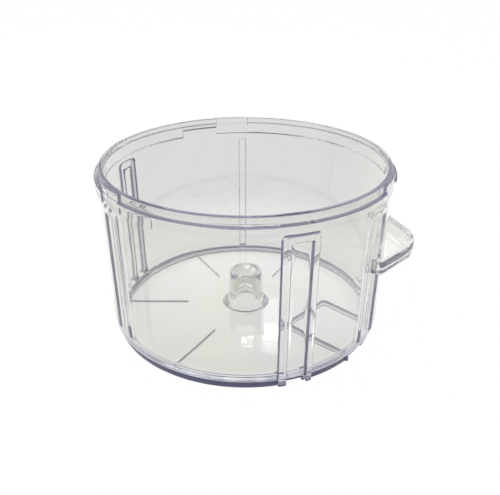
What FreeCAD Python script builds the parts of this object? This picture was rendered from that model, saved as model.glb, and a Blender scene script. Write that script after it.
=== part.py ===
import FreeCAD, Part

import math
import os

# Work bowl of a small food processor: one clear injection moulding, modelled as
# the features a mould maker would name. Millimetres, +Z up. The origin is the
# centre of the foot circle, on the surface that the bowl stands on.
# Azimuths are in degrees: 0 is the front (-Y), and they grow towards +X.

# Driving dimensions
RIM_RADIUS = 90.0          # outside of the rim band
BOWL_HEIGHT = 110.4        # foot plane to the top of the rim
RIM_THICKNESS = 2.7
WALL_TOP_RADIUS = 90.9     # outside of the wall, just under the collar
WALL_LOW_RADIUS = 89.3     # outside of the wall, just above its bottom corner
WALL_THICKNESS = 3.1       # at the bottom; draft makes the top a little thicker
FLOOR_THICKNESS = 2.4
FOOT_RADIUS = 87.1
FOOT_HEIGHT = 4.4
FOOT_THICKNESS = 2.2
CORNER_RADIUS = 5.5        # inside corner between the wall and the floor

# Lid lock round the rim: three collar arcs with a plain block in each gap
COLLAR_RADIUS = 93.0
COLLAR_DROP = 4.8          # rim top down to the collar's ledge
COLLAR_BOTTOM_DROP = 12.2  # rim top down to the collar's lower edge
LIP_HEIGHT = 2.4           # the collar's shallow start
LIP_SWEEP = 16.7           # degrees
BLOCK_RADIUS = 91.8
COLLAR_ARCS = {
    "front_collar": (-48.5, 59.0),
    "right_collar": (74.5, 179.2),
    "left_collar": (194.3, 298.5),
}
LID_BLOCKS = {
    "right_lid_block": (59.0, 74.5),
    "back_lid_block": (179.2, 194.3),
    "left_lid_block": (298.5, 311.5),
}

# Raised vertical channels on the outside of the wall: outer edges, slot edges,
# the drop from the rim top to the channel's upper edge, the height of its lower
# ends and how far it stands out of the wall
CHANNEL_TOP_BAR = 5.0      # closed height above the slot
CHANNEL_CORNER = 3.0       # radius of the two upper corners
CHANNELS = {
    "front_channel": (11.5, 24.6, 14.6, 22.2, 9.9, 3.0, 2.9),
    "right_channel": (50.0, 63.0, 53.0, 60.5, 13.4, 10.0, 1.3),
    "left_channel": (-63.0, -51.0, -60.5, -54.0, 13.4, 13.0, 1.3),
    "back_left_channel": (-119.5, -108.5, -117.0, -111.0, 16.0, 3.0, 2.9),
}
BACK_RIB = (180.0, 183.2)
BACK_RIB_DROP = 17.0
BACK_RIB_LOW = 3.0
BACK_RIB_PROUD = 1.6

# Hub that the drive spindle passes up through
HUB_RADIUS = 10.8          # outside of the tube at its top
HUB_LOW_RADIUS = 11.7      # and at its lower end
HUB_BORE_RADIUS = 8.0
HUB_TOP = 30.6
HUB_STRAIGHT_FROM = 13.0
HUB_BASE_RADIUS = 16.1
HUB_MOUTH_RADIUS = 11.4

# Finger grip: an open-topped tray that stands out of the wall
GRIP_AZIMUTH = 77.6
GRIP_REACH = 107.8
GRIP_TOP = 65.4
GRIP_HEIGHT = 9.0
GRIP_WALL = 2.6
GRIP_FLOOR = 2.0
GRIP_NOSE_RADIUS = 24.0
GRIP_SIDE_ANGLE = 32.0     # between each side and the tangent at the nose
GRIP_HALF_SPAN = 37.0

# Under the floor
RIB_AZIMUTHS = (-150.0, -90.0, -30.0, 150.0)
RIB_INNER_RADIUS = 40.0
RIB_THICKNESS = 1.0
RIB_HEIGHT = 1.2
POCKET_AZIMUTH = 45.0      # direction that the pocket runs in, outwards
POCKET_START = 38.0        # distance of its inner wall from the axis
POCKET_WIDTH = 39.4
POCKET_WALL = 1.4
POCKET_DEPTH = 4.0
FOOT_NOTCHES = {"channel": (14.6, 22.2, 2.6), "pocket": (46.5, 57.5, 2.0)}
FIN_RADIUS = 88.6
FIN_THICKNESS = 1.6

FLOOR_TOP = FOOT_HEIGHT + FLOOR_THICKNESS
COLLAR_TOP = BOWL_HEIGHT - COLLAR_DROP
COLLAR_BOTTOM = BOWL_HEIGHT - COLLAR_BOTTOM_DROP
WALL_LOW_Z = 9.0           # where the outside starts to turn in to the foot
INNER_TOP_RADIUS = RIM_RADIUS - RIM_THICKNESS
INNER_LOW_RADIUS = WALL_LOW_RADIUS - WALL_THICKNESS
ORIGIN = FreeCAD.Vector(0, 0, 0)
UP = FreeCAD.Vector(0, 0, 1)


def point(radius, z):
    """A point of a section, which is drawn in the XZ half-plane."""
    return FreeCAD.Vector(radius, 0, z)


def polar(radius, azimuth, z=0.0):
    angle = math.radians(azimuth)
    return FreeCAD.Vector(radius * math.sin(angle), -radius * math.cos(angle), z)


def wall_radius(z):
    """Outside radius of the tapered wall at height z."""
    share = (z - WALL_LOW_Z) / (COLLAR_BOTTOM - WALL_LOW_Z)
    return WALL_LOW_RADIUS + share * (WALL_TOP_RADIUS - WALL_LOW_RADIUS)


def line(start, end):
    return Part.makeLine(start, end)


def arc(start, middle, end):
    return Part.Arc(start, middle, end).toShape()


def face_of(edges):
    return Part.Face(Part.Wire(Part.__sortEdges__(edges)))


def outline(points):
    return Part.Face(Part.makePolygon(list(points) + [points[0]]))


def revolve(section, start=0.0, end=360.0):
    """Turn a section about the axis, from one azimuth to another."""
    solid = section.revolve(ORIGIN, UP, end - start)
    solid.rotate(ORIGIN, UP, start - 90.0)
    return solid


def ring(inner, outer, low, high, start=0.0, end=360.0):
    corners = [point(inner, low), point(outer, low), point(outer, high), point(inner, high)]
    return revolve(outline(corners), start, end)


def bar(start, end, thickness, low, high):
    """An upright flat bar between two points of the plan."""
    along = (end - start).normalize()
    side = FreeCAD.Vector(-along.y, along.x, 0) * (thickness / 2)
    lift = FreeCAD.Vector(0, 0, low)
    corners = [start + side, end + side, end - side, start - side]
    return outline([corner + lift for corner in corners]).extrude(UP * (high - low))


FOOT_CORNER = point(FOOT_RADIUS, FOOT_HEIGHT)
WALL_OUTSIDE_TOP = point(WALL_TOP_RADIUS, COLLAR_BOTTOM)


def outside_edges():
    """The wall's outside in section: the turn in to the foot, then the taper."""
    turn = point(FOOT_RADIUS + 0.72 * (WALL_LOW_RADIUS - FOOT_RADIUS), 6.0)
    outside_low = point(WALL_LOW_RADIUS, WALL_LOW_Z)
    return [arc(FOOT_CORNER, turn, outside_low), line(outside_low, WALL_OUTSIDE_TOP)]


def make_bowl_wall():
    """Tapered wall with its rounded inside corner and the turn in to the foot."""
    inner_start = FLOOR_TOP + CORNER_RADIUS
    centre = point(INNER_LOW_RADIUS - CORNER_RADIUS, inner_start)
    reach = CORNER_RADIUS * math.sqrt(0.5)
    inside_low = point(INNER_LOW_RADIUS, inner_start)
    floor_edge = point(centre.x, FLOOR_TOP)
    under = point(centre.x, FOOT_HEIGHT)
    inside_top = point(INNER_TOP_RADIUS, COLLAR_BOTTOM)
    edges = outside_edges() + [
        line(WALL_OUTSIDE_TOP, inside_top),
        line(inside_top, inside_low),
        arc(inside_low, point(centre.x + reach, centre.z - reach), floor_edge),
        line(floor_edge, under),
        line(under, FOOT_CORNER),
    ]
    return revolve(face_of(edges))


def make_rim_band():
    """Plain band above the wall, with a rounded top."""
    round_radius = 0.9
    inner, outer = INNER_TOP_RADIUS, RIM_RADIUS
    shoulder = BOWL_HEIGHT - round_radius
    cut = round_radius * (1 - math.sqrt(0.5))
    edges = [
        line(point(inner, COLLAR_BOTTOM), point(outer, COLLAR_BOTTOM)),
        line(point(outer, COLLAR_BOTTOM), point(outer, shoulder)),
        arc(point(outer, shoulder), point(outer - cut, BOWL_HEIGHT - cut),
            point(outer - round_radius, BOWL_HEIGHT)),
        line(point(outer - round_radius, BOWL_HEIGHT), point(inner + round_radius, BOWL_HEIGHT)),
        arc(point(inner + round_radius, BOWL_HEIGHT), point(inner + cut, BOWL_HEIGHT - cut),
            point(inner, shoulder)),
        line(point(inner, shoulder), point(inner, COLLAR_BOTTOM)),
    ]
    return revolve(face_of(edges))


def make_collar(start, end):
    """A bayonet arc: a shallow lip first, then the full depth up to its end."""
    chamfer = 0.5

    def section(low):
        return outline([
            point(RIM_RADIUS, low),
            point(COLLAR_RADIUS - chamfer, low),
            point(COLLAR_RADIUS, low + chamfer),
            point(COLLAR_RADIUS, COLLAR_TOP - chamfer),
            point(COLLAR_RADIUS - chamfer, COLLAR_TOP),
            point(RIM_RADIUS, COLLAR_TOP),
        ])

    lip_end = start + LIP_SWEEP
    lip = revolve(section(COLLAR_TOP - LIP_HEIGHT), start, lip_end)
    backing = ring(RIM_RADIUS, WALL_TOP_RADIUS, COLLAR_BOTTOM, COLLAR_TOP - LIP_HEIGHT, start, lip_end)
    deep = revolve(section(COLLAR_BOTTOM), lip_end, end)
    return deep.fuse([lip, backing]).removeSplitter()


def is_radial_edge(edge, height):
    """True for a straight level edge at that height."""
    box = edge.BoundBox
    level = box.ZMin > height - 0.1 and box.ZLength < 0.1
    return level and abs(edge.Length - math.hypot(box.XLength, box.YLength)) < 1e-6


def make_channel(outer_start, outer_end, slot_start, slot_end, top_drop, low, proud):
    """An upside-down U standing out of the wall: two legs and a closed top."""
    top = BOWL_HEIGHT - top_drop

    def panel(start, end, panel_top, grow=0.0):
        section = outline([
            point(WALL_LOW_RADIUS - 4.0, low - grow),
            point(wall_radius(low) + proud + grow, low - grow),
            point(wall_radius(panel_top) + proud + grow, panel_top),
            point(WALL_LOW_RADIUS - 4.0, panel_top),
        ])
        return revolve(section, start, end)

    body = panel(outer_start, outer_end, top)
    edges = [edge for edge in body.Edges if is_radial_edge(edge, top)]
    body = body.makeFillet(CHANNEL_CORNER, edges)
    slot = panel(slot_start, slot_end, top - CHANNEL_TOP_BAR, grow=1.0)
    return body.cut([slot, collar_clearance(), wall_clearance()])


def wall_clearance():
    """Everything inside the outer surface of the wall and the foot."""
    below = -5.0
    edges = outside_edges() + [
        line(WALL_OUTSIDE_TOP, point(0, COLLAR_BOTTOM)),
        line(point(0, COLLAR_BOTTOM), point(0, below)),
        line(point(0, below), point(FOOT_RADIUS, below)),
        line(point(FOOT_RADIUS, below), FOOT_CORNER),
    ]
    return revolve(face_of(edges))


def collar_clearance():
    """Everything inside the collar's outer surface, above the wall."""
    return ring(0.0, COLLAR_RADIUS, COLLAR_BOTTOM, BOWL_HEIGHT + 5.0)


def make_back_rib():
    low, top = BACK_RIB_LOW, BOWL_HEIGHT - BACK_RIB_DROP
    section = outline([
        point(WALL_LOW_RADIUS - 4.0, low),
        point(wall_radius(low) + BACK_RIB_PROUD, low),
        point(wall_radius(top) + BACK_RIB_PROUD, top),
        point(WALL_LOW_RADIUS - 4.0, top),
    ])
    return revolve(section, *BACK_RIB).cut(wall_clearance())


def make_floor():
    edge = INNER_LOW_RADIUS - CORNER_RADIUS
    return ring(HUB_BASE_RADIUS, edge, FOOT_HEIGHT, FLOOR_TOP)


def make_foot():
    foot = ring(FOOT_RADIUS - FOOT_THICKNESS, FOOT_RADIUS, 0.0, FOOT_HEIGHT)
    notches = [ring(FOOT_RADIUS - 5.0, FOOT_RADIUS + 5.0, -1.0, height, start, end)
               for start, end, height in FOOT_NOTCHES.values()]
    return foot.cut(notches)


def make_hub_tube():
    """A straight bore in a tube that tapers outside, for its draft."""
    return revolve(outline([
        point(HUB_BORE_RADIUS, HUB_STRAIGHT_FROM), point(HUB_LOW_RADIUS, HUB_STRAIGHT_FROM),
        point(HUB_RADIUS, HUB_TOP), point(HUB_BORE_RADIUS, HUB_TOP),
    ]))


def make_hub_flare():
    """The hub's base, which spreads into the floor while its bore widens."""
    middle = point(HUB_LOW_RADIUS + 1.6, 0.5 * (HUB_STRAIGHT_FROM + FLOOR_TOP))
    edges = [
        line(point(HUB_BORE_RADIUS, HUB_STRAIGHT_FROM), point(HUB_LOW_RADIUS, HUB_STRAIGHT_FROM)),
        arc(point(HUB_LOW_RADIUS, HUB_STRAIGHT_FROM), middle, point(HUB_BASE_RADIUS, FLOOR_TOP)),
        line(point(HUB_BASE_RADIUS, FLOOR_TOP), point(HUB_BASE_RADIUS, FOOT_HEIGHT)),
        line(point(HUB_BASE_RADIUS, FOOT_HEIGHT), point(HUB_MOUTH_RADIUS, FOOT_HEIGHT)),
        line(point(HUB_MOUTH_RADIUS, FOOT_HEIGHT), point(HUB_BORE_RADIUS, HUB_STRAIGHT_FROM)),
    ]
    return revolve(face_of(edges))


def grip_plan(inset):
    """Plan of the grip, as a face at z = 0, moved in from its outline by inset."""
    reach = GRIP_REACH - inset
    nose = GRIP_NOSE_RADIUS - inset
    slope = math.radians(GRIP_SIDE_ANGLE)
    centre = reach - nose
    touch = FreeCAD.Vector(centre + nose * math.cos(slope), nose * math.sin(slope), 0)
    span = GRIP_HALF_SPAN - inset
    side_end = FreeCAD.Vector(touch.x - (span - touch.y) * math.tan(slope), span, 0)
    back = FreeCAD.Vector(GRIP_REACH * 0.6, span * 0.8, 0)

    def mirror(vector):
        return FreeCAD.Vector(vector.x, -vector.y, 0)

    edges = [
        arc(touch, FreeCAD.Vector(reach, 0, 0), mirror(touch)),
        line(mirror(touch), mirror(side_end)),
        line(mirror(side_end), mirror(back)),
        line(mirror(back), back),
        line(back, side_end),
        line(side_end, touch),
    ]
    return face_of(edges)


def grip_layer(inset, low, high):
    solid = grip_plan(inset).extrude(UP * (high - low))
    solid.translate(UP * low)
    solid.rotate(ORIGIN, UP, GRIP_AZIMUTH - 90.0)
    return solid


def make_grip(neighbour):
    """The grip's floor, and the wall that stands round its edge."""
    low = GRIP_TOP - GRIP_HEIGHT
    away = [wall_clearance(), neighbour]
    floor = grip_layer(0.0, low, low + GRIP_FLOOR).cut(away)
    outside = grip_layer(0.0, low + GRIP_FLOOR, GRIP_TOP)
    inside = grip_layer(GRIP_WALL, low, GRIP_TOP + 1.0)
    wall = outside.cut([inside] + away)
    return floor, wall


def make_floor_rib(azimuth):
    outer = FOOT_RADIUS - FOOT_THICKNESS
    rib = bar(polar(RIB_INNER_RADIUS, azimuth), polar(outer + 1.0, azimuth),
              RIB_THICKNESS, FOOT_HEIGHT - RIB_HEIGHT, FOOT_HEIGHT)
    return rib.common(ring(0.0, outer, 0.0, FOOT_HEIGHT))


def make_pocket_walls():
    """Three upright walls under the floor: two run outwards, one joins them."""
    out = polar(1.0, POCKET_AZIMUTH)
    across = FreeCAD.Vector(-out.y, out.x, 0)
    inner = FOOT_RADIUS - FOOT_THICKNESS
    low = FOOT_HEIGHT - POCKET_DEPTH
    half = POCKET_WALL / 2
    start = out * POCKET_START
    far_start = start + across * POCKET_WIDTH
    room = ring(0.0, inner, 0.0, FOOT_HEIGHT)
    near = bar(start - out * half, out * FOOT_RADIUS, POCKET_WALL, low, FOOT_HEIGHT)
    far = bar(far_start - out * half, far_start + out * FOOT_RADIUS, POCKET_WALL, low, FOOT_HEIGHT)
    join = bar(start + across * half, far_start - across * half, POCKET_WALL, low, FOOT_HEIGHT)
    return {
        "pocket_near_wall": near.common(room),
        "pocket_far_wall": far.common(room),
        "pocket_inner_wall": join,
    }


def make_fin():
    fin = bar(polar(FOOT_RADIUS - 1.0, POCKET_AZIMUTH), polar(FIN_RADIUS, POCKET_AZIMUTH),
              FIN_THICKNESS, 0.0, FOOT_HEIGHT)
    return fin.cut(ring(0.0, FOOT_RADIUS, -1.0, FOOT_HEIGHT + 1.0))


def build():
    nodes = {
        "bowl_wall": make_bowl_wall(),
        "rim_band": make_rim_band(),
        "bowl_floor": make_floor(),
        "foot_ring": make_foot(),
        "hub_tube": make_hub_tube(),
        "hub_flare": make_hub_flare(),
        "back_rib": make_back_rib(),
        "locating_fin": make_fin(),
    }
    for name, (start, end) in COLLAR_ARCS.items():
        nodes[name] = make_collar(start, end)
    for name, (start, end) in LID_BLOCKS.items():
        nodes[name] = ring(RIM_RADIUS, BLOCK_RADIUS, COLLAR_BOTTOM, BOWL_HEIGHT - 0.4, start, end)
    for name, values in CHANNELS.items():
        nodes[name] = make_channel(*values)
    nodes["grip_floor"], nodes["grip_wall"] = make_grip(nodes["right_channel"])
    for count, azimuth in enumerate(RIB_AZIMUTHS, start=1):
        nodes[f"floor_rib_{count}"] = make_floor_rib(azimuth)
    nodes.update(make_pocket_walls())
    return nodes


os.makedirs("parts", exist_ok=True)
for node, shape in build().items():
    volume = shape.Volume / 1000
    print(f"{node:20s} solids {len(shape.Solids)}  volume {volume:8.2f} cm3  valid {shape.isValid()}")
    shape.exportStep(f"parts/{node}.step")
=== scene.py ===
# %% [markdown]
# # A clear work bowl, moulded in one piece
#
# The real object is one injection moulding in clear plastic: a round bowl with a hollow
# hub for the drive spindle, a bayonet rim for the lid, raised channels down the wall and a
# finger grip. The CAD frame holds it as separate features that touch face to face. Clear
# plastic shows every inner face, so the visible bowl has to be one continuous skin. This
# lesson measures the CAD features, builds that skin around them, and gives it its finish.
# The work goes in that order: measure, build, join, colour, light, look.

import math

import bmesh
import bpy
import numpy as np
from mathutils import Matrix, Vector


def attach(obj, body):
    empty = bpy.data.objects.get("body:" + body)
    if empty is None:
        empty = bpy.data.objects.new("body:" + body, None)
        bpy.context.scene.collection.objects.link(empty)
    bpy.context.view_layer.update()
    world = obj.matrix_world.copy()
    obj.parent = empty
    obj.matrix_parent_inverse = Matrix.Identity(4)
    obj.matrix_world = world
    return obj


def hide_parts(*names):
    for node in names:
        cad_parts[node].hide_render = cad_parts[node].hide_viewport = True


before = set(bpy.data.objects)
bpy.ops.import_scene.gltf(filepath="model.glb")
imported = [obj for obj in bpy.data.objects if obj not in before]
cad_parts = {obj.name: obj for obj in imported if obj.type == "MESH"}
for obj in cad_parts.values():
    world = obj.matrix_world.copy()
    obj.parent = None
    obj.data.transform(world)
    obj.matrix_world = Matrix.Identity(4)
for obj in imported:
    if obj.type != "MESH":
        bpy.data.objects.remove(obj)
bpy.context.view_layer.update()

# %% [markdown]
# ## Measuring the CAD features
#
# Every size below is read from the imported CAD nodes, so the skin follows the design. The
# shapes are round, so three readings do most of the work: a radius, a height, and an
# azimuth. Azimuths are in degrees, 0 at the front and growing to the right. Lengths are in
# millimetres until the mesh is made.

# %% Readings in the bowl's own terms
MM = 0.001


def cad_points(node):
    """The corner points of a CAD node, in millimetres."""
    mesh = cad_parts[node].data
    found = np.empty(len(mesh.vertices) * 3, np.float32)
    mesh.vertices.foreach_get("co", found)
    return found.reshape(-1, 3).astype(float) / MM


def radii(points):
    return np.hypot(points[:, 0], points[:, 1])


def azimuths(points):
    return np.degrees(np.arctan2(points[:, 0], -points[:, 1]))


def turned(azimuth, middle):
    """Azimuths as signed angles from a middle one."""
    return (azimuth - middle + 180.0) % 360.0 - 180.0


def sweep(points):
    """The first and the last azimuth of some points that lie on one side of the axis."""
    middle = math.degrees(math.atan2(points[:, 0].mean(), -points[:, 1].mean()))
    away = turned(azimuths(points), middle)
    return middle + away.min(), middle + away.max()


print(len(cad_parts), "CAD features to measure")

# %% Radii and heights of the round features
LOW_WALL = 20.0     # mm, the height below which the wall counts as its foot
CLOSE = 0.1         # mm, how near to an extreme a point has to be to belong to it

rim = cad_points("rim_band")
RIM_OUTER, RIM_INNER = radii(rim).max(), radii(rim).min()
RIM_TOP, WALL_TOP = rim[:, 2].max(), rim[:, 2].min()

wall = cad_points("bowl_wall")
low_wall = wall[wall[:, 2] < LOW_WALL]
TURN_RADIUS, TURN_Z = radii(low_wall).max(), low_wall[radii(low_wall).argmax()][2]
WALL_OUTER = radii(wall[wall[:, 2] > WALL_TOP - 1.0]).max()
inner_low = low_wall[(radii(low_wall) < TURN_RADIUS - 1.0) & (low_wall[:, 2] > TURN_Z)]
INNER_LOW, CORNER_TOP = radii(inner_low).max(), inner_low[:, 2].max()

floor_points = cad_points("bowl_floor")
FLOOR_LOW, FLOOR_TOP = floor_points[:, 2].min(), floor_points[:, 2].max()
foot = cad_points("foot_ring")
FOOT_OUTER, FOOT_INNER = radii(foot).max(), radii(foot).min()
fin = cad_points("locating_fin")

tube, flare = cad_points("hub_tube"), cad_points("hub_flare")
HUB_TOP, HUB_STRAIGHT = tube[:, 2].max(), tube[:, 2].min()
HUB_OUTER = radii(tube[tube[:, 2] > HUB_TOP - CLOSE]).max()
HUB_LOW_OUTER, HUB_BORE = radii(tube).max(), radii(tube).min()
HUB_BASE = radii(flare).max()
HUB_MOUTH = radii(flare[flare[:, 2] < FLOOR_LOW + CLOSE]).min()
print(f"rim {RIM_OUTER:.1f}, wall {WALL_OUTER:.1f} to {TURN_RADIUS:.1f}, hub {HUB_OUTER:.1f} mm")

# %% Sweeps of the lid lock's arcs and blocks
COLLARS = [cad_points(node) for node in ("front_collar", "right_collar", "left_collar")]
BLOCKS = [cad_points(node) for node in ("right_lid_block", "back_lid_block", "left_lid_block")]
COLLAR_OUTER = max(radii(collar).max() for collar in COLLARS)
BLOCK_OUTER = max(radii(block).max() for block in BLOCKS)
LEDGE = COLLARS[0][:, 2].max()
BLOCK_TOP = BLOCKS[0][:, 2].max()


def lip_of(collar):
    """Where a collar's shallow start ends, and how low that start reaches."""
    outer = collar[radii(collar) > COLLAR_OUTER - 0.05]
    deep = outer[outer[:, 2] < WALL_TOP + 1.0]
    lip_end = sweep(deep)[0]
    start = sweep(collar)[0]
    shallow = outer[turned(azimuths(outer), start) < 0.5 * turned(lip_end, start)]
    return lip_end, shallow[:, 2].min() - 0.5


COLLAR_SWEEPS = [sweep(collar) for collar in COLLARS]
LIP_ENDS = [lip_of(collar)[0] for collar in COLLARS]
LIP_LOW = lip_of(COLLARS[0])[1]
BLOCK_SWEEPS = [sweep(block) for block in BLOCKS]
print("collars:", [np.round(pair, 1).tolist() for pair in COLLAR_SWEEPS], "lips down to", round(LIP_LOW, 1))

# %% Channels and back rib
def wall_line(z):
    """Outside radius of the tapered wall, carried on below the turn at its foot."""
    share = (z - TURN_Z) / (WALL_TOP - TURN_Z)
    return TURN_RADIUS + share * (WALL_OUTER - TURN_RADIUS)


def read_channel(node):
    """A channel's sweep, its slot's sweep, its top, its slot's top, its foot and its depth."""
    points = cad_points(node)
    low = points[points[:, 2] < points[:, 2].min() + 0.5]
    start, end = sweep(points)
    along = np.sort(turned(azimuths(low), start))
    gap = np.diff(along).argmax()
    slot = (start + along[gap], start + along[gap + 1])
    high = points[points[:, 2] > 0.5 * RIM_TOP]
    inside = turned(azimuths(high), slot[0]) > -0.05
    inside &= turned(azimuths(high), slot[1]) < 0.05
    proud = radii(low).max() - wall_line(low[:, 2].min())
    return {"sweep": (start, end), "slot": slot, "top": points[:, 2].max(),
            "slot_top": high[inside, 2].min(), "low": low[:, 2].min(), "proud": proud}


CHANNELS = [read_channel(node) for node in
            ("front_channel", "right_channel", "left_channel", "back_left_channel")]
back = cad_points("back_rib")
BACK_RIB = {"sweep": sweep(back), "top": back[:, 2].max(), "low": back[:, 2].min(),
            "proud": radii(back).max() - wall_line(back[:, 2].max())}
for channel in CHANNELS:
    print("channel:", {key: np.round(value, 1).tolist() for key, value in channel.items()})

# %% Notches and fin
def read_notches():
    """The foot's notches, as the sweeps between its lowest points, with each height."""
    outer = foot[radii(foot) > FOOT_OUTER - CLOSE]
    raised = outer[(outer[:, 2] > 0.5) & (outer[:, 2] < FLOOR_LOW - 0.5)]
    found = []
    for height in np.unique(raised[:, 2].round(2)):
        found.append((*sweep(raised[np.abs(raised[:, 2] - height) < 0.05]), height))
    return found


NOTCHES = read_notches()
FIN_AZIMUTH, FIN_OUTER = sum(sweep(fin)) / 2, radii(fin).max()
FIN_HALF = (sweep(fin)[1] - sweep(fin)[0]) / 2
print("notches:", [tuple(round(float(v), 1) for v in notch) for notch in NOTCHES])

# %% [markdown]
# ## One skin from a section that changes as it turns
#
# A moulded bowl is a turned section with details that come and go round it. So the skin is
# a grid: stations run down the section, and columns run round the axis. Spacing is coarse
# where nothing happens and fine at the edge of a feature, where a soft step rounds the
# edge over a few tenths of a millimetre. Cutting and joining separate shapes would be less
# code, but it leaves a patchwork of odd faces, and clear plastic shows every one of them.

# %% Soft steps and line spacing
EDGE = 0.7          # mm, width of a feature's rounded side
EDGE_TURN = 0.42    # degrees, the same width round the wall
STEEP_EDGE = 0.13   # mm, the almost upright sides of the channels that stand well out
STEEP_TURN = 0.09   # degrees, the ends of the collars and blocks
SHOULDER = 0.55     # mm, rounding at the top of a steep side
SHALLOW_EDGE = 2.4  # mm, the gentler sides of the shallow ones
STANDS_OUT = 2.0    # mm, a channel that is prouder than this has steep sides
CLUSTER = np.array([-0.9, -0.5, -0.3, -0.1, 0.1, 0.3, 0.5, 0.9])   # lines at an edge, in its widths


def soft(distance, width=EDGE):
    """0 outside and 1 inside an edge, for a signed distance that is positive inside."""
    share = np.clip(distance / width + 0.5, 0.0, 1.0)
    return share * share * (3.0 - 2.0 * share)


def steep(distance, height):
    """Like soft, for a side that rises at once and then rounds over its shoulder."""
    rise = np.clip(distance / STEEP_EDGE + 0.5, 0.0, 1.0)
    away = 1.0 - np.clip((distance - STEEP_EDGE / 2) / SHOULDER, 0.0, 1.0)
    rounded = SHOULDER / height
    return rise * (1.0 - rounded) + rounded * np.sqrt(1.0 - away * away)


def in_sweep(azimuth, start, end, width=EDGE_TURN):
    """1 within a sweep of azimuths and 0 outside it, with soft ends."""
    away = np.abs(turned(azimuth, (start + end) / 2))
    return soft((end - start) / 2 - away, width)


def fine_lines(low, high, step, edges, offsets):
    """Evenly spaced lines, with a cluster of fine ones at each edge and none too close."""
    cluster = np.unique(np.round([edge + offset for edge in edges for offset in offsets], 3))
    cluster = cluster[(cluster > low) & (cluster < high)]
    even = np.linspace(low, high, max(2, round((high - low) / step) + 1))
    beside, between = 0.3 * step, 0.45 * np.min(np.diff(np.sort(offsets)))
    apart = [value for value in even if np.abs(cluster - value).min() > beside]
    found = np.sort(np.concatenate([cluster, apart]))
    keep = np.concatenate([[True], np.diff(found) > between])
    return found[keep]


print("edges are rounded over", EDGE, "mm, or", SHALLOW_EDGE, "mm on a shallow channel")

# %% The columns, round the axis
COLUMN_STEP = 1.5   # degrees between columns where nothing happens
COLUMN_GAP = 0.15   # degrees, the least between an extra column and its neighbours


def is_shallow(feature):
    return "slot" in feature and feature["proud"] < STANDS_OUT


turn_edges = [edge for pair in COLLAR_SWEEPS + BLOCK_SWEEPS for edge in pair] + LIP_ENDS
turn_edges += [edge for channel in CHANNELS for edge in channel["sweep"] + channel["slot"]]
turn_edges += list(BACK_RIB["sweep"]) + [edge for notch in NOTCHES for edge in notch[:2]]
turn_edges += [FIN_AZIMUTH - FIN_HALF, FIN_AZIMUTH + FIN_HALF]
columns = fine_lines(0.0, 360.0 - COLUMN_STEP, COLUMN_STEP,
                     [edge % 360.0 for edge in turn_edges], EDGE_TURN * CLUSTER)
shallow = [channel for channel in CHANNELS if is_shallow(channel)]
shallow_turn = math.degrees(SHALLOW_EDGE / RIM_OUTER)
for channel in shallow:
    for edge in channel["sweep"] + channel["slot"]:
        for share in (-0.5, -0.25, 0.25, 0.5):
            spot = (edge + share * shallow_turn) % 360.0
            if np.abs(columns - spot).min() > COLUMN_GAP:
                columns = np.sort(np.append(columns, spot))
print(len(columns), "columns")

# %% [markdown]
# ## The outside of the section
#
# Three groups of stations make the outside. The first is the rim with its ledge, which has
# two states: a collar arc, where the ledge sticks out, and a lid block, where it doesn't.
# The grid slides from one to the other across two thirds of a millimetre. The second is the
# wall, where the collar's lower part, the blocks, the channels and the back rib are all
# raised from one tapered surface. The third is the foot. Each raised thing could be a solid
# of its own, but raising one surface leaves no seam where it meets the wall.

# %% Rim and ledge
ROUND = 0.9         # mm, rounding of the rim's two top edges
LEDGE_ROUND = 0.5
LEDGE_FILLET = 0.4  # mm, inside corner where the ledge meets the rim
BLOCK_ROUND = 0.4
BAND_DROPS = (1.2, 1.5, 1.8, 2.1, 3.2)   # mm below the rim's top, stations of its plain band


def quarter(centre_r, centre_z, radius, start, end, steps=4):
    """Points of a rounded edge in section; angles are in degrees, 0 outwards, 90 up."""
    angles = np.radians(np.linspace(start, end, steps + 1))
    return [(centre_r + radius * math.cos(a), centre_z + radius * math.sin(a)) for a in angles]


rim_round = quarter(RIM_OUTER - ROUND, RIM_TOP - ROUND, ROUND, 90, 0)
collar_state = rim_round + [(RIM_OUTER, RIM_TOP - drop) for drop in BAND_DROPS]
collar_state += quarter(RIM_OUTER + LEDGE_FILLET, LEDGE + LEDGE_FILLET, LEDGE_FILLET, 180, 270, 3)
collar_state += [(COLLAR_OUTER - 1.4, LEDGE)]
collar_state += quarter(COLLAR_OUTER - LEDGE_ROUND, LEDGE - LEDGE_ROUND, LEDGE_ROUND, 90, 0, 3)

block_top = quarter(BLOCK_OUTER - BLOCK_ROUND, BLOCK_TOP - BLOCK_ROUND, BLOCK_ROUND, 90, 0, 3)
block_state = rim_round[:4] + [(RIM_OUTER + 0.2, BLOCK_TOP - 0.05)] + block_top
block_state += [(BLOCK_OUTER, z) for z in np.linspace(BLOCK_TOP - 1.2, LEDGE - 0.5, 10)]
collar_state, block_state = np.array(collar_state), np.array(block_state)
print(len(collar_state), "and", len(block_state), "stations at the ledge")

# %% Heights of the wall's stations
TOP_CORNER = 3.0    # mm, rounding of a channel's upper corners
SLOT_CORNER = 1.0
RIB_CORNER = 0.6
FOOT_ROUND = 0.5    # mm, rounding of the foot's lower edges
WALL_STEP = 5.0     # mm between stations where nothing happens
LEVEL_GAP = 0.2     # mm, the least between an extra station and its neighbours
FOOT_LEVELS = [TURN_Z, 7.5, 6.2, 5.2, FLOOR_LOW]   # mm, down the turn in to the foot
level_edges = [LIP_LOW, WALL_TOP, BACK_RIB["top"], BACK_RIB["low"]]
level_edges += [channel[key] for channel in CHANNELS for key in ("top", "slot_top", "low")]
corner_levels = [channel["top"] - drop for channel in CHANNELS for drop in (1.1, 1.7, 2.3, 3.0)]
corner_levels += [channel[key] + share * SHALLOW_EDGE for channel in shallow
                  for key in ("top", "slot_top", "low") for share in (-0.5, 0.5)]
levels = fine_lines(FOOT_ROUND, LEDGE - 0.8, WALL_STEP, level_edges, EDGE * CLUSTER)
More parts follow.
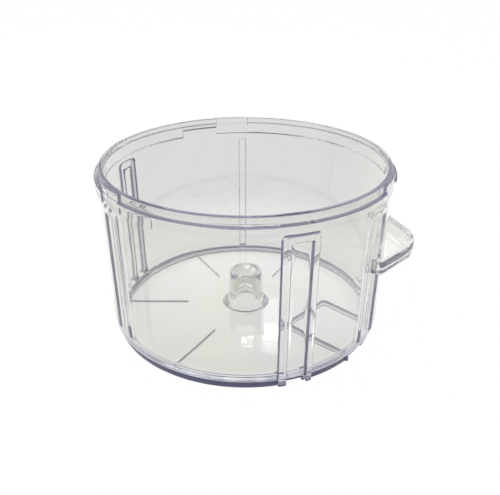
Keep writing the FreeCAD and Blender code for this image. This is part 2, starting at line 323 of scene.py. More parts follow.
extra = [z for z in corner_levels + FOOT_LEVELS if np.abs(levels - z).min() > LEVEL_GAP]
levels = np.sort(np.concatenate([levels, extra]))[::-1]
print(len(levels), "stations down the wall")

# %% The wall's surface as a radius for every azimuth and height
def panel_depth(across, z, half, top, corner):
    """How far inside an upright panel a point is, in mm, and whether it is at a corner."""
    beside, above = np.abs(across) - (half - corner), z - (top - corner)
    outside = np.hypot(np.maximum(beside, 0.0), np.maximum(above, 0.0))
    depth = corner - outside - np.minimum(np.maximum(beside, above), 0.0)
    return depth, np.minimum(beside, above) > 0.0


def panel(across, z, half, top, corner, feature):
    """An upright panel as a share from 0 to 1, with sides to suit the feature."""
    depth, at_corner = panel_depth(across, z, half, top, corner)
    if "slot" not in feature:
        return soft(depth)
    if is_shallow(feature):
        return soft(depth, SHALLOW_EDGE)
    return np.where(at_corner, soft(depth, 1.5 * EDGE), steep(depth, feature["proud"]))


def raised(azimuth, z, feature):
    """How far a channel or rib is raised at a point, from 0 to 1."""
    start, end = feature["sweep"]
    scale = math.radians(1.0) * RIM_OUTER
    across = turned(azimuth, (start + end) / 2) * scale
    corner = TOP_CORNER if "slot" in feature else RIB_CORNER
    share = panel(across, z, (end - start) / 2 * scale, feature["top"], corner, feature)
    if "slot" in feature:
        left, right = feature["slot"]
        inside = turned(azimuth, (left + right) / 2) * scale
        half = (right - left) / 2 * scale
        share = share * (1.0 - panel(inside, z, half, feature["slot_top"], SLOT_CORNER, feature))
    return share * soft(z - feature["low"], SHALLOW_EDGE if is_shallow(feature) else EDGE)


def bare_wall(z):
    """The wall with nothing raised from it, with the turn in to the foot."""
    share = np.clip((z - FLOOR_LOW) / (TURN_Z - FLOOR_LOW), 0.0, 1.0)
    lower = FOOT_OUTER + (TURN_RADIUS - FOOT_OUTER) * np.sqrt(share * (2.0 - share))
    return np.where(z < TURN_Z, lower, np.minimum(wall_line(z), WALL_OUTER))


def wall_surface(azimuth, z):
    """Outside radius of the wall with everything that is raised from it."""
    radius = bare_wall(z)
    in_block = sum(in_sweep(azimuth, *pair, STEEP_TURN) for pair in BLOCK_SWEEPS)
    in_lip = sum(in_sweep(azimuth, pair[0] - 0.5, end, STEEP_TURN)
                 for pair, end in zip(COLLAR_SWEEPS, LIP_ENDS))
    in_deep = sum(in_sweep(azimuth, end, pair[1], STEEP_TURN)
                  for pair, end in zip(COLLAR_SWEEPS, LIP_ENDS))
    top = (COLLAR_OUTER - radius) * in_deep * soft(z - WALL_TOP)
    lip = (COLLAR_OUTER - radius) * in_lip * (1.0 - in_block) * soft(z - LIP_LOW)
    block = (BLOCK_OUTER - radius) * in_block * soft(z - WALL_TOP)
    radius = radius + np.maximum(np.maximum(top, lip), block)
    for feature in CHANNELS + [BACK_RIB]:
        gain = wall_line(z) + feature["proud"] - radius
        radius = radius + np.maximum(gain, 0.0) * raised(azimuth, z, feature)
    in_fin = in_sweep(azimuth, FIN_AZIMUTH - FIN_HALF, FIN_AZIMUTH + FIN_HALF)
    return radius + np.maximum(FIN_OUTER - radius, 0.0) * in_fin * (z < FLOOR_LOW + 0.01)


front_middle = sum(CHANNELS[0]["sweep"]) / 2
print("front channel's bar at", round(float(wall_surface(front_middle, CHANNELS[0]["top"] - 2.0)), 2), "mm")

# %% [markdown]
# ## Foot, floor and hub
#
# The rest of the section is the same all round: under the foot, across the underside, up
# through the hub's bore, over its top, down its flare, across the floor and up the inside.
# A screw modifier would turn such a section too, but here it only has to be copied into
# each column. The rounded corners matter, because a clear part is mostly seen by its edges.

# %% The unchanging stations
HUB_ROUND = 0.6
UNDER_ROUND = 0.6
UNDER_RADII = (70.0, 50.0, 30.0, 16.0)        # mm, stations across the underside
FLOOR_RADII = (18.0, 34.0, 50.0, 66.0, 78.0)  # mm, stations across the floor
BORE_MIDDLE = 22.0  # mm, height of a station half-way up the bore
FLARE_POWER = 1.4   # how late the hub's base spreads
RIM_INSIDE = 104.0  # mm, height of a station inside the rim
under = quarter(FOOT_OUTER - FOOT_ROUND, FOOT_ROUND, FOOT_ROUND, 0, -90, 3)[1:]
under += quarter(FOOT_INNER + FOOT_ROUND, FOOT_ROUND, FOOT_ROUND, -90, -180, 3)
under += quarter(FOOT_INNER - UNDER_ROUND, FLOOR_LOW - UNDER_ROUND, UNDER_ROUND, 0, 90, 3)
under += [(radius, FLOOR_LOW) for radius in UNDER_RADII]

bore = [(HUB_MOUTH + 0.4, FLOOR_LOW), (HUB_MOUTH + 0.1, FLOOR_LOW + 0.1)]
bore += [(HUB_MOUTH - 0.1, FLOOR_LOW + 0.4), (HUB_BORE + 0.1, HUB_STRAIGHT - 0.4)]
bore += [(HUB_BORE, HUB_STRAIGHT + 0.4), (HUB_BORE, BORE_MIDDLE)]
hub = quarter(HUB_BORE + HUB_ROUND, HUB_TOP - HUB_ROUND, HUB_ROUND, 180, 90)
hub += quarter(HUB_OUTER - HUB_ROUND, HUB_TOP - HUB_ROUND, HUB_ROUND, 90, 0)
hub += [((HUB_OUTER + HUB_LOW_OUTER) / 2, (HUB_TOP + HUB_STRAIGHT) / 2)]
flare_across, flare_up = HUB_BASE - HUB_LOW_OUTER, HUB_STRAIGHT - FLOOR_TOP
hub += [(HUB_LOW_OUTER + flare_across * share ** FLARE_POWER, HUB_STRAIGHT - flare_up * share)
        for share in np.linspace(0.0, 1.0, 9)]

corner = CORNER_TOP - FLOOR_TOP
inside = [(radius, FLOOR_TOP) for radius in FLOOR_RADII]
inside += quarter(INNER_LOW - corner, CORNER_TOP, corner, -90, 0, 10)
inner_share = np.linspace(0.0, 1.0, 8)[1:]
inside += [(INNER_LOW + share * (RIM_INNER - INNER_LOW), CORNER_TOP + share * (WALL_TOP - CORNER_TOP))
           for share in inner_share]
inside += [(RIM_INNER, RIM_INSIDE)] + quarter(RIM_INNER + ROUND, RIM_TOP - ROUND, ROUND, 180, 90)
unchanging = np.array(under + bore + hub + inside)
print(len(unchanging), "stations below and inside")

# %% Lay the stations out round the axis
def section_grid():
    """Radius and height of every grid point, one row for each column of the bowl."""
    azimuth = columns[:, None]
    in_block = sum(in_sweep(azimuth, *pair) for pair in BLOCK_SWEEPS)
    ledge = collar_state[None] + in_block[..., None] * (block_state - collar_state)[None]
    z = np.broadcast_to(levels[None, :], (len(columns), len(levels)))
    face = np.stack([wall_surface(azimuth, z), z], axis=-1)
    rest = np.broadcast_to(unchanging, (len(columns), *unchanging.shape))
    grid = np.concatenate([ledge, face, rest], axis=1)
    lift = sum(height * in_sweep(azimuth, start, end) for start, end, height in NOTCHES)
    first = len(collar_state)
    last = first + len(levels) + len(under)
    low = grid[:, first:last, 1]
    grid[:, first:last, 1] = low + lift * np.clip(1.0 - low / FLOOR_LOW, 0.0, 1.0)
    return grid


def make_object(name, points, faces):
    """A mesh object from points in millimetres, with its faces turned outwards."""
    mesh = bpy.data.meshes.new(name)
    mesh.from_pydata((np.asarray(points) * MM).tolist(), [], faces)
    work = bmesh.new()
    work.from_mesh(mesh)
    bmesh.ops.recalc_face_normals(work, faces=work.faces)
    if work.calc_volume(signed=True) < 0.0:
        bmesh.ops.reverse_faces(work, faces=work.faces)
    work.to_mesh(mesh)
    work.free()
    made = bpy.data.objects.new(name, mesh)
    bpy.context.scene.collection.objects.link(made)
    return made


grid = section_grid()
count, stations = grid.shape[:2]
angle = np.radians(columns)[:, None]
points = np.stack([grid[..., 0] * np.sin(angle), -grid[..., 0] * np.cos(angle), grid[..., 1]], axis=-1)
faces = [(c * stations + s, c * stations + (s + 1) % stations,
          (c + 1) % count * stations + (s + 1) % stations, (c + 1) % count * stations + s)
         for c in range(count) for s in range(stations)]
bowl = make_object("work_bowl", points.reshape(-1, 3), faces)
print("skin:", len(faces), "faces")

# %% [markdown]
# ## Ribs and pocket under the floor
#
# Four thin ribs stiffen the floor, and a square pocket locates the bowl on its base. They
# run straight across the underside, so they don't follow the grid. Each is a bar with
# softened lower edges, swept along a path and sunk into the floor. A curve with a bevel
# would need converting first, while these few points are quick to lay out one by one. One
# Boolean union joins them to the skin at the end, so no face is left inside the plastic.

# %% A bar swept along a path
def bar_section(thickness, low, high, chamfer=0.3):
    """Points of a bar's section, with its two lower edges cut off."""
    half = thickness / 2
    return [(-half, high), (-half, low + chamfer), (chamfer - half, low),
            (half - chamfer, low), (half, low + chamfer), (half, high)]


def sweep_bar(name, path, section):
    """A section of (across, height) points carried along a flat path, closed at its ends."""
    path = np.asarray(path, float)
    along = np.gradient(path, axis=0)
    along /= np.linalg.norm(along, axis=1)[:, None]
    side = np.stack([-along[:, 1], along[:, 0]], axis=1)
    size = len(section)
    found = [(*(spot + across * normal), z) for spot, normal in zip(path, side) for across, z in section]
    skin = [(i * size + k, i * size + (k + 1) % size, (i + 1) * size + (k + 1) % size, (i + 1) * size + k)
            for i in range(len(path) - 1) for k in range(size)]
    ends = [tuple(range(size)), tuple(range((len(path) - 1) * size, len(path) * size))]
    return make_object(name, found, skin + ends)


# %% The four ribs
SINK = 1.2          # mm that a bar reaches up into the floor, and out into the foot
RIB_CHAMFER = 0.25
additions = []
for number in range(1, 5):
    node = f"floor_rib_{number}"
    rib = cad_points(node)
    direction = np.array([rib[:, 0].mean(), rib[:, 1].mean()])
    direction /= np.linalg.norm(direction)
    across = rib[:, :2] @ np.array([-direction[1], direction[0]])
    reach = [radii(rib).min(), FOOT_INNER + SINK]
    section = bar_section(np.ptp(across), rib[:, 2].min(), FLOOR_LOW + SINK, RIB_CHAMFER)
    additions.append(sweep_bar(node, [direction * r for r in reach], section))
print("floor ribs from", round(reach[0], 1), "to", round(reach[1], 1), "mm")

# %% The pocket's three walls as one bent bar
near, far, inner = (cad_points(f"pocket_{side}_wall") for side in ("near", "far", "inner"))
out = near[:, :2].mean(axis=0)
out /= np.linalg.norm(out)
across = np.array([-out[1], out[0]])
POCKET_START = (inner[:, :2] @ out).mean()
POCKET_WIDTH = ((far[:, :2] @ across).min() + (far[:, :2] @ across).max()) / 2
POCKET_WALL = np.ptp(near[:, :2] @ across)
BEND = 2.5          # mm, inside radius of the pocket's two corners
foot_reach = FOOT_INNER + SINK
near_end = out * foot_reach
far_end = across * POCKET_WIDTH + out * math.sqrt(foot_reach ** 2 - POCKET_WIDTH ** 2)


def bend(middle, first, steps=6):
    """Path points round one corner of the pocket."""
    angles = np.radians(np.linspace(first, first + 90.0, steps + 1))
    return [middle - BEND * (math.cos(a) * across + math.sin(a) * out) for a in angles]


path = [near_end, out * 70.0, out * 55.0]
path += bend(out * (POCKET_START + BEND) + across * BEND, 0.0)
path += bend(out * (POCKET_START + BEND) + across * (POCKET_WIDTH - BEND), 90.0)
path += [across * POCKET_WIDTH + out * 55.0, across * POCKET_WIDTH + out * 68.0, far_end]
section = bar_section(POCKET_WALL, near[:, 2].min(), FLOOR_LOW + SINK)
additions.append(sweep_bar("pocket", path, section))
print("pocket:", round(POCKET_WIDTH, 1), "mm wide from", round(POCKET_START, 1), "mm")

# %% [markdown]
# ## The finger grip
#
# The grip is a shallow D-shaped tray that stands out of the wall. It could be a block with a
# hollow cut in it and its edges bevelled. Rings of one outline, each a little further in
# than the last, give the same shape with even faces: they climb the outside, cross the rim
# and go down to the tray's floor. Its back lies within the wall, where the union swallows it.

# %% Rings of the grip
grip_rim, grip_base = cad_points("grip_wall"), cad_points("grip_floor")
GRIP_REACH = radii(grip_base).max()
GRIP_AZIMUTH = azimuths(grip_base[radii(grip_base) > GRIP_REACH - 0.2]).mean()
GRIP_LOW, GRIP_TOP, TRAY = grip_base[:, 2].min(), grip_rim[:, 2].max(), grip_base[:, 2].max()
GRIP_WALL = 2.6
NOSE_RADIUS = 24.0
SIDE_ANGLE = math.radians(32.0)
HALF_SPAN = 37.0    # mm, from the grip's middle to where a side meets the wall
GRIP_CORNER = 2.0   # mm, rounding where each side turns in to the wall
WALL_MIDDLE = 88.0  # mm, a radius within the wall's thickness


def grip_outline(inset):
    """One closed outline of the grip, seen from above, as (outwards, across) points."""
    nose, centre = NOSE_RADIUS - inset, GRIP_REACH - NOSE_RADIUS
    arc = [(centre + nose * math.cos(a), nose * math.sin(a))
           for a in np.linspace(-SIDE_ANGLE, SIDE_ANGLE, 15)]
    touch = np.array(arc[-1])
    slope = np.array([-math.sin(SIDE_ANGLE), math.cos(SIDE_ANGLE)])
    corner_spot = touch + slope * (HALF_SPAN - inset - touch[1]) / slope[1]
    inward = np.array([0.6 * GRIP_REACH, 0.8 * (HALF_SPAN - inset)]) - corner_spot
    inward /= np.linalg.norm(inward)
    start, end = corner_spot - slope * GRIP_CORNER, corner_spot + inward * GRIP_CORNER
    shares = np.linspace(0.0, 1.0, 6)
    shoulder = [(1 - s) ** 2 * start + 2 * s * (1 - s) * corner_spot + s ** 2 * end for s in shares]
    side = [touch + (start - touch) * s for s in np.linspace(0.0, 1.0, 8)[1:-1]]
    limit = WALL_MIDDLE + 0.3 * inset
    along = end @ inward
    travel = -along - math.sqrt(along ** 2 - end @ end + limit ** 2)
    root = end + inward * travel
    half = side + shoulder + [end + (root - end) * 0.5, root]
    back_turn = math.atan2(root[1], root[0])
    back_arc = [(limit * math.cos(a), limit * math.sin(a))
                for a in np.linspace(back_turn, -back_turn, 17)[1:-1]]
    mirrored = [(u, -v) for u, v in reversed(half)]
    return arc + [tuple(spot) for spot in half] + back_arc + mirrored


rings = [(0.9, GRIP_LOW), (0.3, GRIP_LOW + 0.2), (0.0, GRIP_LOW + 0.9), (0.0, GRIP_TOP - 0.8)]
rings += [(0.25, GRIP_TOP - 0.2), (0.8, GRIP_TOP), (GRIP_WALL - 0.8, GRIP_TOP)]
rings += [(GRIP_WALL - 0.25, GRIP_TOP - 0.2), (GRIP_WALL, GRIP_TOP - 0.8), (GRIP_WALL + 0.1, TRAY + 0.9)]
rings += [(GRIP_WALL + 0.35, TRAY + 0.25), (GRIP_WALL + 1.0, TRAY)]
outwards = np.array([math.sin(math.radians(GRIP_AZIMUTH)), -math.cos(math.radians(GRIP_AZIMUTH))])
sideways = np.array([-outwards[1], outwards[0]])
grip_points, grip_faces = [], []
for inset, z in rings:
    grip_points += [(*(u * outwards + v * sideways), z) for u, v in grip_outline(inset)]
size = len(grip_points) // len(rings)
for ring in range(len(rings) - 1):
    low, high = ring * size, (ring + 1) * size
    grip_faces += [(low + k, low + (k + 1) % size, high + (k + 1) % size, high + k) for k in range(size)]
grip_faces += [tuple(range(size)), tuple(range(len(grip_points) - size, len(grip_points)))]
additions.append(make_object("grip", grip_points, grip_faces))
print("grip:", len(grip_faces), "faces at azimuth", round(GRIP_AZIMUTH, 1))

# %% [markdown]
# ## One moulding
#
# Overlapping shells look joined in an opaque part, but in a clear one the buried faces show.
# A union drops every face that ends up inside the plastic, and the Manifold solver keeps the
# grid's untouched faces as they are. Then faces that meet at less than thirty degrees are
# shaded as one smooth surface.

# %% Join the additions to the skin
SMOOTH_BELOW = math.radians(30.0)


def join_up(target, tools):
    """Unite a mesh with some others, which are used up."""
    for tool in tools:
        union = target.modifiers.new(tool.name, "BOOLEAN")
        union.operation = "UNION"
        union.solver = "MANIFOLD"
        union.object = tool
    bpy.context.view_layer.update()
    ready = target.evaluated_get(bpy.context.evaluated_depsgraph_get())
    joined = bpy.data.meshes.new_from_object(ready)
    target.modifiers.clear()
    old, target.data = target.data, joined
    bpy.data.meshes.remove(old)
    for tool in tools:
        bpy.data.objects.remove(tool)


join_up(bowl, additions)
work = bmesh.new()
work.from_mesh(bowl.data)
open_edges = sum(not edge.is_manifold for edge in work.edges)
print("joined:", len(work.faces), "faces,", open_edges, "open edges, volume",
      round(work.calc_volume(signed=True) / MM ** 3 / 1000, 1), "cm3")
work.free()
bowl.data.shade_smooth()
bowl.data.set_sharp_from_angle(angle=SMOOTH_BELOW)

# %% [markdown]
# ## Shader arithmetic
#
# A material's maths reads best as maths. Wire wraps one socket, and adding or multiplying
# wires adds the Math nodes. Every other node comes from Finish.node, which takes the
# node's type, its settings, and the values or wires for its sockets.

# %% Wires and finishes
class Wire:
    """A number that a shader node gives out, which takes part in arithmetic."""

    def __init__(self, finish, socket):
        self.finish, self.socket = finish, socket

    def _maths(self, operation, first, second):
        return self.finish.node("ShaderNodeMath", {"operation": operation}, {0: first, 1: second})

    def __add__(self, other):
        return self._maths("ADD", self, other)

    def __sub__(self, other):
        return self._maths("SUBTRACT", self, other)

    def __rsub__(self, other):
        return self._maths("SUBTRACT", other, self)

    def __mul__(self, other):
        return self._maths("MULTIPLY", self, other)

    __radd__, __rmul__ = __add__, __mul__


class Finish:
    """A node tree while it is built, for a material or for the world."""

    def __init__(self, owner):
        owner.use_nodes = True
        self.tree = owner.node_tree
        self.tree.nodes.clear()

    def node(self, kind, settings=None, inputs=None, output=0):
        """Add a node, set it up, fill or link its sockets, and give back one output."""
        made = self.tree.nodes.new(kind)
        for key, value in (settings or {}).items():
            setattr(made, key, value)
        for key, value in (inputs or {}).items():
            if isinstance(value, Wire):
                self.tree.links.new(value.socket, made.inputs[key])
            else:
                made.inputs[key].default_value = value
        return Wire(self, made.outputs[output]) if len(made.outputs) else made

    def axis(self, vector, number):
        """One coordinate of a vector: 0 is X, 1 is Y, 2 is Z."""
        return self.node("ShaderNodeSeparateXYZ", inputs={"Vector": vector}, output=number)

    def ramp(self, value, start, end, low=0.0, high=1.0):
        """A smooth change from low to high while the value goes from start to end."""
        return self.node("ShaderNodeMapRange", {"interpolation_type": "SMOOTHSTEP"}, {
            "Value": value, "From Min": start, "From Max": end, "To Min": low, "To Max": high})

    def blend(self, share, first, second):
        """A colour between two others."""
        return self.node("ShaderNodeMix", {"data_type": "RGBA"}, {0: share, 6: first, 7: second}, 2)

    def larger(self, first, second):
        """The larger of two masks."""
        return self.node("ShaderNodeMath", {"operation": "MAXIMUM"}, {0: first, 1: second})

    def band(self, value, low, high, soft_edge=0.3):
        """1 between two values and 0 outside them, with soft ends."""
        return self.ramp(value, low - soft_edge, low) * self.ramp(value, high + soft_edge, high)


print("a finish can add, subtract, multiply, ramp, blend and band")

# %% [markdown]
# ## Clear plastic
#
# Real clear mouldings are never quite colourless. Faint green and warm areas drift through
# the plastic where the melt cooled unevenly. The far wall is darker in painted shade, more so
# towards the back and higher up. A plain glass shader would look drawn, and modelling the
# unevenness would take a scan. So one transmissive shader takes its base colour from slow
# noise and from where a point is. The readings of place are in millimetres and degrees, like
# those of the geometry.

# %% Colours of the plastic
CLEAR_GREEN = (0.845, 0.856, 0.812, 1.0)
CLEAR_WARM = (0.842, 0.838, 0.828, 1.0)
# painted shade for the back and upper part of the wall
BACK_SHADE = (0.715, 0.713, 0.698, 1.0)
# the next three colours are painted shade: for steep sides, for the rim and ledge, and for the foot
EDGE_SHADE = (0.24, 0.24, 0.35, 1.0)
RIM_SHADE = (0.17, 0.17, 0.27, 1.0)
FOOT_SHADE = (0.05, 0.05, 0.11, 1.0)
MELT_SCALE = 16.0   # per metre, so each drift is about 60 mm across
print("base colours:", CLEAR_GREEN[:3], "and", CLEAR_WARM[:3], "and", BACK_SHADE[:3], "at the back")

# %% Where a point is on the bowl
clear = bpy.data.materials.new("clear_plastic")
finish = Finish(clear)
place = finish.node("ShaderNodeTexCoord", output="Object")
here = finish.node("ShaderNodeVectorMath", {"operation": "SCALE"}, {"Vector": place, "Scale": 1 / MM})
across, towards_back, height = (finish.axis(here, number) for number in range(3))
radius = finish.node("ShaderNodeMath", {"operation": "SQRT"},
                     {0: across * across + towards_back * towards_back})
turn = finish.node("ShaderNodeMath", {"operation": "ARCTAN2"}, {0: across, 1: -1.0 * towards_back})
turn = math.degrees(1.0) * turn
TAPER = (WALL_OUTER - TURN_RADIUS) / (WALL_TOP - TURN_Z)
proud = radius - (TAPER * height + (TURN_RADIUS - TURN_Z * TAPER))
print("the wall widens by", round(TAPER, 3), "mm for each millimetre of height")

# %% Slow drift of the melt, and painted shade on the back
melt = finish.node("ShaderNodeTexNoise", inputs={"Vector": place, "Scale": MELT_SCALE, "Detail": 2.0})
colour = finish.blend(finish.ramp(melt, 0.42, 0.58), CLEAR_GREEN, CLEAR_WARM)
# painted shade: darker towards the back and higher up the wall
back_shade = finish.ramp(towards_back, -20.0, 60.0) * finish.ramp(height, 20.0, 60.0)
colour = finish.blend(back_shade, colour, BACK_SHADE)
print("drift and dullness:", len(finish.tree.nodes), "nodes so far")

# %% [markdown]
# ## Lilac rim, ledge and foot, in painted shade
#
# The thick edges of a clear moulding gather light from far along the plastic, so they look
# darker and more violet than the walls, and the foot is seen against the shaded space under
# the floor. Tracing that exactly needs the plastic's measured absorption and the whole room.
# So this darkness is painted shade in the base colour, by height and radius, which is
# steadier, and it is strongest at the front, where the rim and the foot are seen from outside.

# %% Painted shade by height and radius
# painted shade: the rim's rounded top and the ledge's top turn dark lilac, most at the front
in_front = finish.ramp(towards_back, 50.0, -50.0, 0.2, 1.0)
rim_top = finish.ramp(height, RIM_TOP - ROUND, RIM_TOP - 0.5 * ROUND)
ledge_top = finish.band(height, LEDGE - 0.4, LEDGE + 0.1)
ledge_top = ledge_top * finish.ramp(radius, RIM_OUTER + 0.4, RIM_OUTER + 0.7)
colour = finish.blend((rim_top + ledge_top) * in_front, colour, RIM_SHADE)

# painted shade: under the floor, the foot ring, weaker towards the back, and everything below about 1 mm or
# above about 3 mm turn nearly black-violet, for the shaded space under the floor
below_floor = finish.ramp(height, FLOOR_LOW - 0.2, FLOOR_LOW - 0.5)
foot_ring = finish.ramp(radius, FOOT_INNER - 1.9, FOOT_INNER - 0.4)
foot_ring = foot_ring * finish.ramp(towards_back, -50.0, -20.0, 1.0, 0.3)
rib_edge = finish.ramp(height, 2.8, 3.2) + finish.ramp(height, 1.2, 0.8)
colour = finish.blend(below_floor * finish.larger(foot_ring, rib_edge), colour, FOOT_SHADE)
print("rim, ledge and foot:", len(finish.tree.nodes), "nodes so far")

# %% [markdown]
# ## Dark sides of the channels and collars, in painted shade
#
# A steep side face of clear plastic is a dark line, because it is seen only by reflection
# within the plastic, which the base colour doesn't tint. So a mask finds these faces by how
# far they stand out of the wall, and their darkness is painted shade: they get a darker base
# colour and are partly metallic, which darkens reflections within as well. On the channels
# the mask is limited to the front and the back-left ones. Painted dark lines along the edges
# that face right, and a painted dark mark where the front collar's shallow lip ends, finish
# the outlines.

# %% Painted shade on the sides of the channels
LINE_EDGE = 0.0573  # degrees, softness of a painted line
front_side = finish.ramp(towards_back, -70.0, -78.0)
back_left = finish.ramp(across, -55.0, -65.0) * finish.ramp(towards_back, 0.0, 10.0)
channel_side = finish.band(proud, 0.3, 2.75, 0.1) * (front_side + back_left)
channel_side = channel_side * finish.ramp(height, WALL_TOP - 0.2, WALL_TOP - 0.6)

front, back_leg = CHANNELS[0], CHANNELS[3]
bar_edge = finish.band(proud, 2.2, 3.4, 0.1) * front_side
bar_edge = bar_edge * finish.band(height, front["top"] - 1.1, front["top"] + 0.5, 0.2)
print("front channel's bar is lilac above", round(front["top"] - 1.1, 1), "mm")

# %% Painted shade lines on the front channel's face
front_face = finish.band(proud, 2.6, 3.4, 0.1) * front_side
slot_line = finish.band(turn, front["slot"][0] - 0.2, front["slot"][0], LINE_EDGE)
slot_line = slot_line * finish.ramp(height, front["slot_top"] + 0.2, front["slot_top"] - 0.2)
outer_line = finish.band(turn, front["sweep"][1] - 0.3, front["sweep"][1], LINE_EDGE)
outer_line = outer_line * finish.ramp(height, front["top"] - 2.0, front["top"] - TOP_CORNER)
face_lines = front_face * (slot_line + outer_line)
print("lines at", round(front["slot"][0], 1), "and", round(front["sweep"][1], 1), "degrees")

# %% Painted shade on the back-left channel's rear leg
leg = finish.band(turn, turned(back_leg["sweep"][0], 0.0), turned(back_leg["slot"][0], 0.0), 2 * LINE_EDGE)
leg = leg * finish.band(proud, 2.4, 3.4, 0.1) * back_left
colour = finish.blend(0.8 * leg, colour, EDGE_SHADE)
print("rear leg from", round(back_leg["sweep"][0], 1), "to", round(back_leg["slot"][0], 1), "degrees")

# %% Painted shade on the ends of the collars, and at the front lip's end
lip_end_shade = finish.band(turn, LIP_ENDS[0], LIP_ENDS[0] + 0.4, LINE_EDGE)
lip_end_shade = lip_end_shade * finish.band(height, WALL_TOP + 0.3, LIP_LOW - 0.3)
lip_end_shade = lip_end_shade * finish.ramp(radius, COLLAR_OUTER - 1.5, COLLAR_OUTER - 1.1)
collar_end = finish.band(radius, BLOCK_OUTER + 0.3, COLLAR_OUTER - 0.2, 0.1)
collar_end = collar_end + finish.band(radius, RIM_OUTER + 1.2, BLOCK_OUTER - 0.15, 0.1)
collar_end = collar_end * finish.band(height, WALL_TOP + 0.8, LEDGE - 0.8)

# all of these masks paint shade into the base colour
channel_edge = finish.larger(channel_side, bar_edge + face_lines + lip_end_shade)
side_shade = finish.larger(channel_edge, collar_end)
colour = finish.blend(side_shade, colour, EDGE_SHADE)
print("side faces:", len(finish.tree.nodes), "nodes so far")

# %% [markdown]
# ## Gloss, ripples and depth
#
# The mould is polished, so the gloss is high, but a moulded face is never optically flat.
# Slow noise through a bump bends reflections a little, and very fine noise keeps the
# roughness from being perfectly even. Carving either into the mesh would need millions of
# faces. Shadow rays and soft bounced rays pass straight through, which keeps the inside
# bright without tracing caustics, and a weak absorption tints long paths violet-grey.

# %% The shader
RIPPLE_SCALE = 38.0     # per metre, ripples about 25 mm across
GRAIN_SCALE = 900.0     # per metre, grain about 1 mm across
GLASSY_IOR = 1.56
ripple = finish.node("ShaderNodeTexNoise", inputs={"Vector": place, "Scale": RIPPLE_SCALE, "Detail": 1.0})
wave = finish.node("ShaderNodeBump", inputs={"Strength": 0.12, "Distance": 0.0004, "Height": ripple})
grain = finish.node("ShaderNodeTexNoise", inputs={"Vector": place, "Scale": GRAIN_SCALE, "Detail": 4.0})
# the painted shade on the side faces also makes them partly metallic
plastic = finish.node("ShaderNodeBsdfPrincipled", inputs={
    "Base Color": colour, "IOR": GLASSY_IOR, "Transmission Weight": 1.0,
    "Roughness": 0.012 + grain * 0.03, "Metallic": 0.7 * side_shade, "Normal": wave})
print("plastic with a refractive index of", GLASSY_IOR)

# %% Rays that pass straight through, and the depth colour
ABSORBED = (0.0, 0.04, 0.34, 1.0)
ABSORPTION = 1.8    # per metre, for a colour that is wholly absorbed
shadow = finish.node("ShaderNodeLightPath", output="Is Shadow Ray")
bounced = finish.node("ShaderNodeLightPath", output="Is Diffuse Ray")
through = finish.node("ShaderNodeBsdfTransparent", inputs={"Color": (0.96, 0.96, 0.96, 1.0)})
surface = finish.node("ShaderNodeMixShader", inputs={
    "Fac": finish.larger(shadow, bounced), 1: plastic, 2: through})
depth = finish.node("ShaderNodeVolumeAbsorption", inputs={"Color": ABSORBED, "Density": ABSORPTION})
finish.node("ShaderNodeOutputMaterial", inputs={"Surface": surface, "Volume": depth})
print(clear.name, "has", len(finish.tree.nodes), "nodes")

# %% Dress the bowl
bowl.data.materials.clear()
bowl.data.materials.append(clear)

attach(bowl, "root")
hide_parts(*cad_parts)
print("the bowl stands for", len(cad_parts), "CAD features")

# %% [markdown]
# ## The white floor
#
# Clear parts are best shown on a white sheet that is lit from below as well as from above,
# so the sheet glows a little and shows hardly any shadow. A lamp under a translucent sheet
# would be slower to trace than this glow. The sheet lies a fifth of a millimetre under the
# foot, so the two surfaces never meet.

# %% Floor
FLOOR_HALF = 6.0        # m
FLOOR_GAP = 0.0002      # m
white = bpy.data.materials.new("pale_floor")
finish = Finish(white)
paper = finish.node("ShaderNodeBsdfPrincipled", inputs={
    "Base Color": (0.1, 0.1, 0.1, 1.0), "Roughness": 1.0, "Specular IOR Level": 0.0,
    "Emission Color": (1.0, 1.0, 1.0, 1.0), "Emission Strength": 0.95})
finish.node("ShaderNodeOutputMaterial", inputs={"Surface": paper})
floor_mesh = bpy.data.meshes.new("floor")
corners = [(-FLOOR_HALF, -FLOOR_HALF), (FLOOR_HALF, -FLOOR_HALF),
           (FLOOR_HALF, FLOOR_HALF), (-FLOOR_HALF, FLOOR_HALF)]
floor_mesh.from_pydata([(x, y, -FLOOR_GAP) for x, y in corners], [], [(0, 1, 2, 3)])
floor = bpy.data.objects.new("floor", floor_mesh)
bpy.context.scene.collection.objects.link(floor)
floor.data.materials.append(white)
print("a white floor", 2 * FLOOR_HALF, "m wide")

# %% [markdown]
# ## Studio light
#
# Clear plastic has little colour of its own: it shows its surroundings, bent. So the room
# matters more than the lamps. It is white all round, a little dimmer towards the camera,
# and darkens to violet-grey overhead, which draws the dark edges. A band at the windows'
# height is brighter, for the sheen on the bowl's floor. Only the camera's own rays see plain
# white. An environment image would do the same, but these few ramps can be read and changed.

# %% World
OVERHEAD = (0.08, 0.08, 0.15, 1.0)
ALL_ROUND = (1.0, 1.0, 1.0, 1.0)
SHEEN_GAIN = 1.4
world = bpy.data.worlds.new("studio")
bpy.context.scene.world = world
finish = Finish(world)
towards = finish.node("ShaderNodeTexCoord", output="Generated")
sideward, backward, upward = (finish.axis(towards, number) for number in range(3))
bright = finish.ramp(upward, 0.45, 0.85, 1.0, 0.0) * finish.ramp(backward, -0.9, 0.1, 0.75, 1.0)
seen = finish.node("ShaderNodeLightPath", output="Is Camera Ray")
colour = finish.blend(seen + (1.0 - seen) * bright, OVERHEAD, ALL_ROUND)
sheen = finish.ramp(upward, 0.40, 0.50) * finish.ramp(upward, 0.62, 0.55)
sheen = sheen * finish.ramp(sideward, -0.35, -0.05) * finish.ramp(sideward, 0.35, 0.15)
glow = 1.0 + (1.0 - seen) * (SHEEN_GAIN * sheen)
sky = finish.node("ShaderNodeBackground", inputs={"Color": colour, "Strength": glow})
finish.node("ShaderNodeOutputWorld", inputs={"Surface": sky})
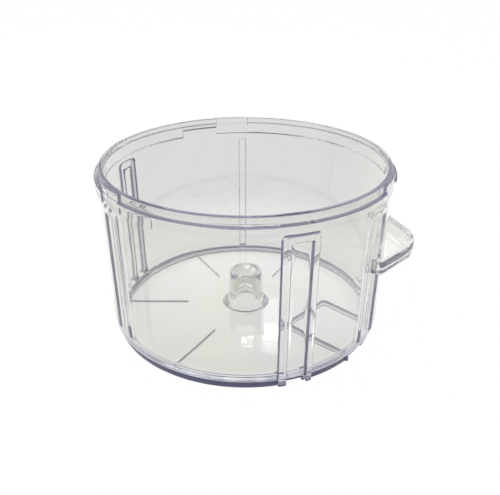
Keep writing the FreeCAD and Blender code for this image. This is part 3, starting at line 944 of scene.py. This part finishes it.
print("the room darkens between", round(math.degrees(math.asin(0.45))), "and",
      round(math.degrees(math.asin(0.85))), "degrees above the floor")

# %% [markdown]
# ## Windows and key light
#
# Three small soft boxes a metre behind the bowl stand in for windows and leave highlights
# on the polished floor of the bowl. Two of them overlap, as one window with a brighter
# part. A large soft box high on the front left is the key light. Area lamps were chosen
# over spots, because their shape is the highlight's shape.

# %% Soft boxes
def softbox(name, spot, aim, size, brightness):
    """A soft rectangular light. Its brightness is compared with the white floor's."""
    lamp = bpy.data.lights.new(name, "AREA")
    lamp.shape = "RECTANGLE"
    lamp.size, lamp.size_y = size
    lamp.energy = brightness * math.pi * size[0] * size[1]
    made = bpy.data.objects.new(name, lamp)
    bpy.context.scene.collection.objects.link(made)
    made.location = spot
    made.rotation_euler = (Vector(aim) - Vector(spot)).to_track_quat("-Z", "Y").to_euler()
    made.visible_camera = False
    print(name, "gives", round(lamp.energy, 4), "W")
    return made


softbox("window_tall", (0.076, 1.0, 0.712), (0.0, 0.0, 0.0), (0.050, 0.14), 2.0)
softbox("window_low", (0.076, 0.985, 0.732), (0.0, 0.0, 0.0), (0.046, 0.040), 8.0)
softbox("window_small", (0.004, 1.0, 0.745), (0.0, 0.0, 0.0), (0.037, 0.06), 7.0)
softbox("key", (-0.9, -0.3, 1.1), (0.0, 0.0, 0.05), (0.5, 0.5), 2.0)

# %% [markdown]
# ## Camera
#
# The camera looks down at the front from a little over a quarter of a right angle, close
# enough for the round bowl to keep some perspective. It could be aimed with a constraint,
# but three plain turns say exactly where it looks.

# %% Camera
SENSOR, LENS = 36.0, 44.64                  # mm
CAMERA_SPOT = (0.0, -0.36846, 0.23844)      # m
LOOK_DOWN, PAN, ROLL = 27.51, -0.442, 0.20  # degrees
camera_data = bpy.data.cameras.new("camera")
camera_data.sensor_width, camera_data.lens = SENSOR, LENS
camera = bpy.data.objects.new("camera", camera_data)
bpy.context.scene.collection.objects.link(camera)
camera.matrix_world = (Matrix.Translation(CAMERA_SPOT)
                       @ Matrix.Rotation(math.radians(PAN), 4, "Z")
                       @ Matrix.Rotation(math.radians(90.0 - LOOK_DOWN), 4, "X")
                       @ Matrix.Rotation(math.radians(ROLL), 4, "Z"))
bpy.context.scene.camera = camera
print("camera", round(math.dist(CAMERA_SPOT, (0.0, 0.0, 0.0)), 3), "m from the foot's centre")

# %% [markdown]
# ## Light through many layers
#
# A ray that crosses the bowl meets a dozen surfaces, and one that is caught in a wall meets
# many more, so rays are allowed more bounces than usual. Otherwise the thick edges would
# turn black. Fewer bounces with a paler shader would be faster, but the rim would look flat.

# %% Render settings that belong to the look
BOUNCES = 64
scene = bpy.context.scene
scene.view_settings.view_transform = "Standard"
scene.cycles.max_bounces = BOUNCES
scene.cycles.transmission_bounces = BOUNCES
scene.cycles.glossy_bounces = BOUNCES
scene.cycles.transparent_max_bounces = 32
print("up to", BOUNCES, "bounces")
